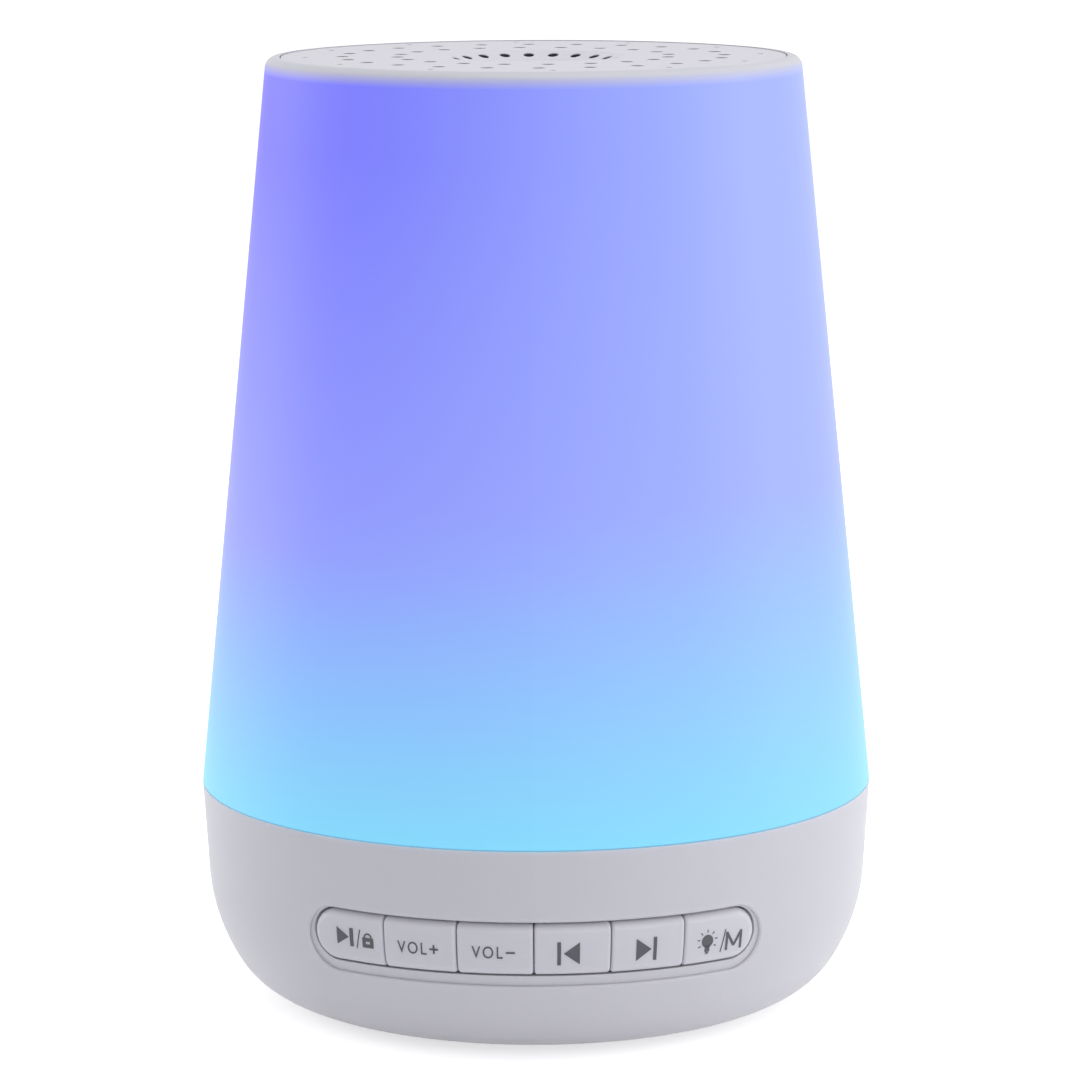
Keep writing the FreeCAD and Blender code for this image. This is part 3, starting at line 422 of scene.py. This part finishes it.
def circuit_board(name, shade, track):
    """Solder mask with copper tracks showing through."""
    g = Graph(name)
    place = g.place()
    tracks = g.node("ShaderNodeTexBrick", {"offset": 0.3},
                    {"Vector": place, "Scale": 220.0, "Mortar Size": 0.09, "Color1": BLACK,
                     "Color2": BLACK, "Mortar": WHITE}, "Fac")
    speckle = g.noise(place, 0.001, 3.0)
    body = g.mix(tracks * 0.6, g.mix(speckle * 0.3, shade, track), track)
    return g.surface(base_color=body, roughness=0.35 + 0.1 * speckle,
                     normal=g.bump(tracks, 0.2, 0.00005))


def led_resin(name):
    """White lamp packages with a warm yellow window."""
    g = Graph(name)
    spots = g.noise(g.place(), 0.0012, 2.0)
    body = g.mix(spots, light_colour(250, 246, 214), light_colour(255, 232, 140))
    return g.surface(base_color=body, roughness=0.25 + 0.1 * spots,
                     emission_color=light_colour(150, 190, 255), emission_strength=0.5,
                     normal=g.bump(spots, 0.1, 0.00005))


def foil_pouch(name, shade):
    """Creased laminate of the cell."""
    g = Graph(name)
    place = g.place()
    creases = g.noise(place, 0.006, 5.0, 0.7)
    darker = tone(shade, 0.8)
    return g.surface(base_color=g.mix(creases, darker, shade), metallic=0.6,
                     roughness=0.35 + 0.15 * creases, normal=g.bump(creases, 0.5, 0.0004))


# Modelling helpers

def clear_selection():
    if bpy.context.object and bpy.context.object.mode != "OBJECT":
        bpy.ops.object.mode_set(mode="OBJECT")
    bpy.ops.object.select_all(action="DESELECT")


def take(obj):
    clear_selection()
    obj.select_set(True)
    bpy.context.view_layer.objects.active = obj
    return obj


def dress(obj, material):
    obj.data.materials.clear()
    obj.data.materials.append(material)


def join(pieces, name):
    clear_selection()
    for piece in pieces:
        piece.select_set(True)
    bpy.context.view_layer.objects.active = pieces[0]
    if len(pieces) > 1:
        bpy.ops.object.join()
    joined = bpy.context.object
    joined.name = name
    bpy.ops.object.transform_apply(location=True, rotation=True, scale=True)
    return joined


# Flat marks are drawn in millimetres on a sheet: across the key and up

def bar(u, v, width, height, turn=0.0):
    clear_selection()
    bpy.ops.mesh.primitive_plane_add(size=1.0, location=(u, v, 0), rotation=(0, 0, turn))
    made = bpy.context.object
    made.scale = (width, height, 1)
    bpy.ops.object.transform_apply(location=True, rotation=True, scale=True)
    return made


def disc(u, v, radius, corners=ROUND_CORNERS, turn=0.0):
    clear_selection()
    bpy.ops.mesh.primitive_circle_add(vertices=corners, radius=radius, fill_type="TRIFAN",
                                      location=(u, v, 0), rotation=(0, 0, turn))
    bpy.ops.object.transform_apply(location=True, rotation=True, scale=True)
    return bpy.context.object


def arrow(u, v, width, height, way):
    """Solid triangle that points left or right."""
    made = disc(0, 0, 1.0, 3, -math.pi / 2)
    fit(made, u, v, width, height, way)
    return made


def arch(u, v, radius, width):
    """Upper half of a flat ring."""
    clear_selection()
    bpy.ops.mesh.primitive_circle_add(vertices=ROUND_CORNERS, radius=radius, location=(u, v, 0))
    bpy.ops.object.transform_apply(location=True)
    made = bpy.context.object
    bpy.ops.object.mode_set(mode="EDIT")
    bpy.ops.mesh.select_all(action="SELECT")
    bpy.ops.mesh.extrude_edges_move()
    share = 1 + width / radius
    bpy.ops.transform.resize(value=(share, share, 1), center_override=(u, v, 0))
    bpy.ops.mesh.select_all(action="SELECT")
    bpy.ops.mesh.bisect(plane_co=(0, v, 0), plane_no=(0, 1, 0), clear_inner=True)
    bpy.ops.object.mode_set(mode="OBJECT")
    return made


def frame_bar(u, v, width, height, border):
    """Flat block with a small opening in its middle."""
    made = bar(u, v, width, height)
    bpy.ops.object.mode_set(mode="EDIT")
    bpy.ops.mesh.select_all(action="SELECT")
    bpy.ops.mesh.inset(thickness=border)
    bpy.ops.mesh.delete(type="FACE")
    bpy.ops.object.mode_set(mode="OBJECT")
    return made


def letter_m(u, v, width, height, stroke):
    """Capital M of four bars, two of them slanted down to its middle."""
    half = (width - stroke) / 2
    drop = 0.75 * height
    lean = math.atan2(half, drop)
    slant = math.hypot(half, drop)
    slant_v = v + (height - drop) / 2 - stroke / 4
    made = []
    for way in (-1, 1):
        made.append(bar(u + way * half, v, stroke, height))
        made.append(bar(u + way * half / 2, slant_v, stroke, slant, -way * lean))
    return made


def words(text, u, v, width, height, spacing):
    clear_selection()
    bpy.ops.object.text_add(location=(0, 0, 0))
    made = bpy.context.object
    made.data.body = text
    made.data.size = LETTER_SIZE
    made.data.space_character = spacing
    made.data.resolution_u = 4
    made.data.offset = LETTER_WEIGHT
    bpy.ops.object.convert(target="MESH")
    made = bpy.context.object
    fit(made, u, v, width, height)
    return made


def fit(made, u, v, width, height, way=1.0):
    """Stretches a flat mark to a width and height about a centre."""
    points = [corner.co for corner in made.data.vertices]
    low = Vector((min(p.x for p in points), min(p.y for p in points)))
    high = Vector((max(p.x for p in points), max(p.y for p in points)))
    for corner in made.data.vertices:
        corner.co.x = u + way * ((corner.co.x - low.x) / (high.x - low.x) - 0.5) * width
        corner.co.y = v + ((corner.co.y - low.y) / (high.y - low.y) - 0.5) * height
        corner.co.z = 0.0


def wrap_on_key(mark, key, s):
    """Lays a flat mark on the key's own face and gives it the thickness of ink."""
    sheet_thickness = 1.0
    take(mark)
    bpy.ops.object.mode_set(mode="EDIT")
    bpy.ops.mesh.select_all(action="SELECT")
    bpy.ops.mesh.remove_doubles(threshold=0.001)
    bpy.ops.mesh.quads_convert_to_tris()
    bpy.ops.mesh.subdivide(number_cuts=3)
    bpy.ops.mesh.normals_make_consistent(inside=False)
    bpy.ops.mesh.select_all(action="SELECT")
    bpy.ops.mesh.extrude_region_move(TRANSFORM_OT_translate={
        "value": (0, 0, sheet_thickness)})
    bpy.ops.object.mode_set(mode="OBJECT")
    face = NODES[key]
    tree = BVHTree.FromPolygons([v.co for v in face.data.vertices],
                                [list(p.vertices) for p in face.data.polygons])
    waist = BASE_HIGH.x
    for corner in mark.data.vertices:
        turn = corner.co.x * MM / waist
        out = Vector((math.sin(turn), -math.cos(turn), 0))
        start = out * 2 * waist + Vector((0, 0, corner.co.y * MM))
        hit = tree.ray_cast(start, -out)[0]
        upper = corner.co.z > sheet_thickness / 2
        rise = s.print_thickness if upper else -s.print_depth
        corner.co = hit + out * rise
    take(mark)
    bpy.ops.object.mode_set(mode="EDIT")
    bpy.ops.mesh.select_all(action="SELECT")
    bpy.ops.mesh.normals_make_consistent(inside=False)
    bpy.ops.object.mode_set(mode="OBJECT")
    bpy.ops.object.shade_flat()


def across(degrees):
    """Millimetres of arc across the key row, from an angle round the body."""
    return math.radians(degrees) * BASE_HIGH.x / MM


def finish_marks(pieces, name, key, s):
    mark = join(pieces, name)
    wrap_on_key(mark, key, s)
    ink = bpy.data.materials.get("key print") or printed_ink("key print", s.print_colour)
    dress(mark, ink)
    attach(mark, key)


# Operators

class SOUND_OT_stage(bpy.types.Operator):
    """Floor, lamps, sky and the camera at the photograph's angle"""
    bl_idname = "sound.stage"
    bl_label = "Stage"

    def execute(self, context):
        s = context.scene.sound_stage
        self.floor(s)
        self.sky(context, s)
        self.lamps(s)
        self.camera(context, s)
        return {"FINISHED"}

    def floor(self, s):
        clear_selection()
        bpy.ops.mesh.primitive_plane_add(size=s.floor_size, location=(0, 0, 0))
        floor = bpy.context.object
        floor.name = "floor"
        g = Graph("floor white")
        grain = g.noise(g.place(), 0.002, 2.0)
        speckled = g.mix(grain * 0.02, s.floor_colour, (0.8, 0.8, 0.8))
        matt = g.node("ShaderNodeBsdfDiffuse", {}, {"Color": speckled})
        white = g.node("ShaderNodeEmission", {}, {"Strength": g.seen() * s.floor_white})
        g.finish(g.node("ShaderNodeAddShader", {}, {0: matt, 1: white}))
        dress(floor, g.material)

    def sky(self, context, s):
        world = bpy.data.worlds.new("even sky")
        context.scene.world = world
        g = Graph("even sky", world)
        lit = g.node("ShaderNodeBackground", {}, {"Color": WHITE, "Strength": s.sky})
        shown = g.node("ShaderNodeBackground", {}, {"Color": WHITE, "Strength": 1.0})
        g.finish(g.node("ShaderNodeMixShader", {}, {0: g.seen(), 1: lit, 2: shown}))

    def lamps(self, s):
        middle = Vector((0, 0, 0.06))
        places = (
            ("left lamp", (-0.75, 0.30, 0.15), 0.6, s.side_lamp),
            ("right lamp", (0.75, -0.05, 0.15), 0.6, s.side_lamp),
            ("front lamp", (0.50, -0.90, 0.18), 0.8, s.front_lamp),
            ("top lamp", (0.05, -0.15, 0.95), 0.6, s.top_lamp),
        )
        for name, place, size, power in places:
            clear_selection()
            bpy.ops.object.light_add(type="AREA", location=place)
            lamp = bpy.context.object
            lamp.name = name.replace(" ", "_")
            lamp.data.shape = "DISK"
            lamp.data.size = size
            lamp.data.energy = power
            aim = middle - Vector(place)
            lamp.rotation_euler = aim.to_track_quat("-Z", "Y").to_euler()

    def camera(self, context, s):
        clear_selection()
        bpy.ops.object.camera_add()
        camera = bpy.context.object
        camera.data.sensor_width = SENSOR_WIDTH
        camera.data.lens = s.lens
        camera.data.clip_start = 0.01
        step = Matrix.Rotation(s.camera_turn, 4, "Z")
        place = Matrix.Translation((s.camera_shift, -s.camera_distance, s.camera_height))
        tilt = Matrix.Rotation(math.pi / 2 - s.camera_pitch, 4, "X")
        camera.matrix_world = step @ place @ tilt @ Matrix.Rotation(s.camera_roll, 4, "Z")
        context.scene.camera = camera
        context.scene.view_settings.view_transform = "Standard"


class SOUND_OT_shade(bpy.types.Operator):
    """Frosted shade, lit from inside"""
    bl_idname = "sound.shade"
    bl_label = "Light shade"

    def execute(self, context):
        dress(NODES["shade"], lit_shade("frosted shade", context.scene.sound_shade))
        return {"FINISHED"}


class SOUND_OT_housing(bpy.types.Operator):
    """Base, cover, keys, perforated top and foot in satin plastic and silicone"""
    bl_idname = "sound.housing"
    bl_label = "Base, keys and top"

    def execute(self, context):
        s = context.scene.sound_base
        base = satin_plastic("base satin", s.plastic, s.grain)
        keys = satin_plastic("key satin", s.keys, s.grain, 0.38)
        top = perforated_plastic("top matt", s)
        for name in ("base_shell", "bottom_cover"):
            dress(NODES[name], base)
        for name in KEYS:
            dress(NODES[name], keys)
        dress(NODES["top_grille"], top)
        dress(NODES["rubber_foot_ring"], soft_rubber("foot silicone", s.foot))
        return {"FINISHED"}


class SOUND_OT_speaker(bpy.types.Operator):
    """Loudspeaker under the top: cone, surround, magnet, basket and cloth"""
    bl_idname = "sound.speaker"
    bl_label = "Loudspeaker"

    def execute(self, context):
        black = light_colour(30, 30, 32)
        zinc = worked_metal("zinc plate", light_colour(200, 202, 205))
        paper = pressed_paper("cone pulp", light_colour(38, 38, 41))
        finishes = {
            "grille_cloth": acoustic_cloth("acoustic cloth", light_colour(24, 24, 26)),
            "speaker_gasket": foam_cells("gasket foam", light_colour(40, 40, 42)),
            "speaker_basket": coated_steel("basket black", black),
            "speaker_surround": soft_rubber("surround rubber", light_colour(28, 28, 29), 0.0003),
            "speaker_cone": paper,
            "speaker_dust_cap": paper,
            "speaker_spider": pressed_paper("spider cloth", light_colour(196, 160, 92)),
            "voice_coil_former": worked_metal("former foil", light_colour(215, 215, 218), 0.25),
            "voice_coil_winding": wound_wire("coil wire", light_colour(190, 104, 58)),
            "speaker_front_plate": zinc,
            "speaker_yoke": zinc,
            "speaker_magnet": coated_steel("ferrite grey", light_colour(66, 66, 69)),
            "speaker_pillar": satin_plastic("pillar white", light_colour(236, 236, 236),
                                            0.0005, 0.5),
        }
        for name, material in finishes.items():
            dress(NODES[name], material)
        return {"FINISHED"}


class SOUND_OT_inside(bpy.types.Operator):
    """Deck, boards, battery, key switches, screws and wires inside the base"""
    bl_idname = "sound.inside"
    bl_label = "Inside of the base"

    def execute(self, context):
        white = satin_plastic("inner white", light_colour(238, 238, 238), 0.0005, 0.5)
        green = circuit_board("board green", light_colour(22, 92, 52), light_colour(60, 140, 80))
        pale = circuit_board("board white", light_colour(238, 238, 236),
                             light_colour(214, 214, 208))
        nylon = satin_plastic("connector nylon", light_colour(228, 222, 200), 0.0003)
        epoxy = satin_plastic("chip epoxy", light_colour(36, 36, 38), 0.0003, 0.6)
        screw = worked_metal("screw nickel", light_colour(196, 198, 204), 0.28)
        socket = worked_metal("socket nickel", light_colour(214, 214, 217), 0.2)
        can = worked_metal("capacitor can", light_colour(206, 207, 210), 0.3)
        film = satin_plastic("film cable", light_colour(226, 228, 234), 0.0006, 0.35)
        finishes = {
            "light_deck": white, "key_switch_bracket": white,
            "led_board": pale, "led_packages": led_resin("lamp resin"), "led_plug": nylon,
            "main_board": green, "speaker_terminals": green, "key_circuit_strip": green,
            "board_connectors": nylon, "board_chips": epoxy, "board_capacitors": can,
            "key_switch_bodies": epoxy, "usb_socket_shell": socket, "usb_socket_tongue": epoxy,
            "battery_pack": foil_pouch("cell foil", light_colour(204, 206, 210)),
            "battery_tape": foam_cells("foam tape", light_colour(226, 226, 220)),
            "key_ribbon_cable": film,
            "speaker_leads": soft_rubber("black lead", light_colour(30, 30, 30), 0.0004),
            "led_leads": soft_rubber("white lead", light_colour(226, 226, 226), 0.0004),
            "battery_leads": soft_rubber("red lead", light_colour(168, 34, 28), 0.0004),
        }
        for name in ("case_screws", "pillar_screws", "shade_screws", "speaker_screws",
                     "bracket_screws"):
            finishes[name] = screw
        for name in KEYS:
            finishes[name + "_button"] = epoxy
        for name, material in finishes.items():
            dress(NODES[name], material)
        return {"FINISHED"}


class SOUND_OT_print_volume(bpy.types.Operator):
    """Words on the two volume keys"""
    bl_idname = "sound.print_volume"
    bl_label = "Volume marks"

    def execute(self, context):
        s = context.scene.sound_base
        height = 17.95
        word_shift, word_width, word_height, spacing = -0.8, 4.5, 1.8, 1.25
        sign_shift, sign_size, sign_stroke = 2.55, 1.3, 0.28
        for key, upright, place in (("key_volume_up", True, -19.62),
                                    ("key_volume_down", False, -6.77)):
            word = across(place) + word_shift
            sign = across(place) + sign_shift
            pieces = [words("VOL", word, height, word_width, word_height, spacing),
                      bar(sign, height, sign_size, sign_stroke)]
            if upright:
                pieces.append(bar(sign, height, sign_stroke, sign_size))
            finish_marks(pieces, key + "_print", key, s)
        return {"FINISHED"}


class SOUND_OT_print_tracks(bpy.types.Operator):
    """Bar and arrow on the two track keys"""
    bl_idname = "sound.print_tracks"
    bl_label = "Track marks"

    def execute(self, context):
        s = context.scene.sound_base
        height = 17.8
        arrow_size = (across(2.65), 3.3)
        line_size = (0.52, 3.45)
        for key, way, arrow_place, line_place in (("key_previous", -1, 6.25, 4.15),
                                                  ("key_next", 1, 18.4, 20.35)):
            pieces = [arrow(across(arrow_place), height, *arrow_size, way),
                      bar(across(line_place), height, *line_size)]
            finish_marks(pieces, key + "_print", key, s)
        return {"FINISHED"}


class SOUND_OT_print_play(bpy.types.Operator):
    """Play and padlock on the first key"""
    bl_idname = "sound.print_play"
    bl_label = "Play and lock marks"

    def execute(self, context):
        s = context.scene.sound_base
        height = 18.35
        arrow_size = (across(2.4), 2.6)
        line_size = (0.6, 2.7)
        slash_size = (0.16, 2.9)
        lock = across(-28.65)
        lock_size, keyhole_border = (across(2.1), 1.5), 0.55
        shackle_radius, shackle_width = 0.45, 0.24
        pieces = [arrow(across(-33.6), height, *arrow_size, 1),
                  bar(across(-31.85), height, *line_size),
                  bar(across(-30.5), height - 0.1, *slash_size, SLASH_LEAN),
                  frame_bar(lock, height - 0.5, *lock_size, keyhole_border),
                  arch(lock, height + 0.25, shackle_radius, shackle_width)]
        finish_marks(pieces, "key_play_lock_print", "key_play_lock", s)
        return {"FINISHED"}


class SOUND_OT_print_light(bpy.types.Operator):
    """Light bulb with rays and the mode letter on the last key"""
    bl_idname = "sound.print_light"
    bl_label = "Light and mode marks"

    def execute(self, context):
        s = context.scene.sound_base
        height = 17.9
        bulb, bulb_radius = across(30.0), 0.95
        neck_drop, neck_size = 1.1, (0.8, 1.0)
        cap_drop, cap_size = 1.78, (0.5, 0.22)
        slash_size = (0.18, 3.4)
        letter_size, letter_stroke = (across(3.35), 2.75), 0.4
        ray_distance, ray_size = 1.5, (0.42, 0.16)
        pieces = [disc(bulb, height, bulb_radius), bar(bulb, height - neck_drop, *neck_size),
                  bar(bulb, height - cap_drop, *cap_size),
                  bar(across(33.1), height - 0.3, *slash_size, SLASH_LEAN),
                  *letter_m(across(35.3), height - 0.45, *letter_size, letter_stroke)]
        for degrees in range(-30, 211, 40):
            turn = math.radians(degrees)
            pieces.append(bar(bulb + ray_distance * math.cos(turn),
                              height + ray_distance * math.sin(turn), *ray_size, turn))
        finish_marks(pieces, "key_light_mode_print", "key_light_mode", s)
        return {"FINISHED"}


class SOUND_PT_panel(bpy.types.Panel):
    """All pieces of the sound machine"""
    bl_idname = "SOUND_PT_panel"
    bl_label = "Sound machine"
    bl_space_type = "VIEW_3D"
    bl_region_type = "UI"
    bl_category = "Sound machine"

    def draw(self, context):
        layout = self.layout
        for step in STEPS:
            layout.operator(step.bl_idname)
        for group in (context.scene.sound_stage, context.scene.sound_shade,
                      context.scene.sound_base):
            box = layout.box()
            for name in group.__annotations__:
                box.prop(group, name)


KEYS = ("key_play_lock", "key_volume_up", "key_volume_down", "key_previous", "key_next",
        "key_light_mode")
STEPS = (SOUND_OT_stage, SOUND_OT_shade, SOUND_OT_housing, SOUND_OT_speaker, SOUND_OT_inside,
         SOUND_OT_print_play, SOUND_OT_print_volume, SOUND_OT_print_tracks,
         SOUND_OT_print_light)
GROUPS = (StageSettings, ShadeSettings, BaseSettings)


def register():
    for part in (*GROUPS, *STEPS, SOUND_PT_panel):
        bpy.utils.register_class(part)
    bpy.types.Scene.sound_stage = PointerProperty(type=StageSettings)
    bpy.types.Scene.sound_shade = PointerProperty(type=ShadeSettings)
    bpy.types.Scene.sound_base = PointerProperty(type=BaseSettings)


def unregister():
    del bpy.types.Scene.sound_base
    del bpy.types.Scene.sound_shade
    del bpy.types.Scene.sound_stage
    for part in reversed((*GROUPS, *STEPS, SOUND_PT_panel)):
        bpy.utils.unregister_class(part)


def main():
    register()
    bpy.ops.sound.stage()
    bpy.ops.sound.shade()
    bpy.ops.sound.housing()
    bpy.ops.sound.speaker()
    bpy.ops.sound.inside()
    bpy.ops.sound.print_play()
    bpy.ops.sound.print_volume()
    bpy.ops.sound.print_tracks()
    bpy.ops.sound.print_light()


if __name__ == "__main__":
    main()
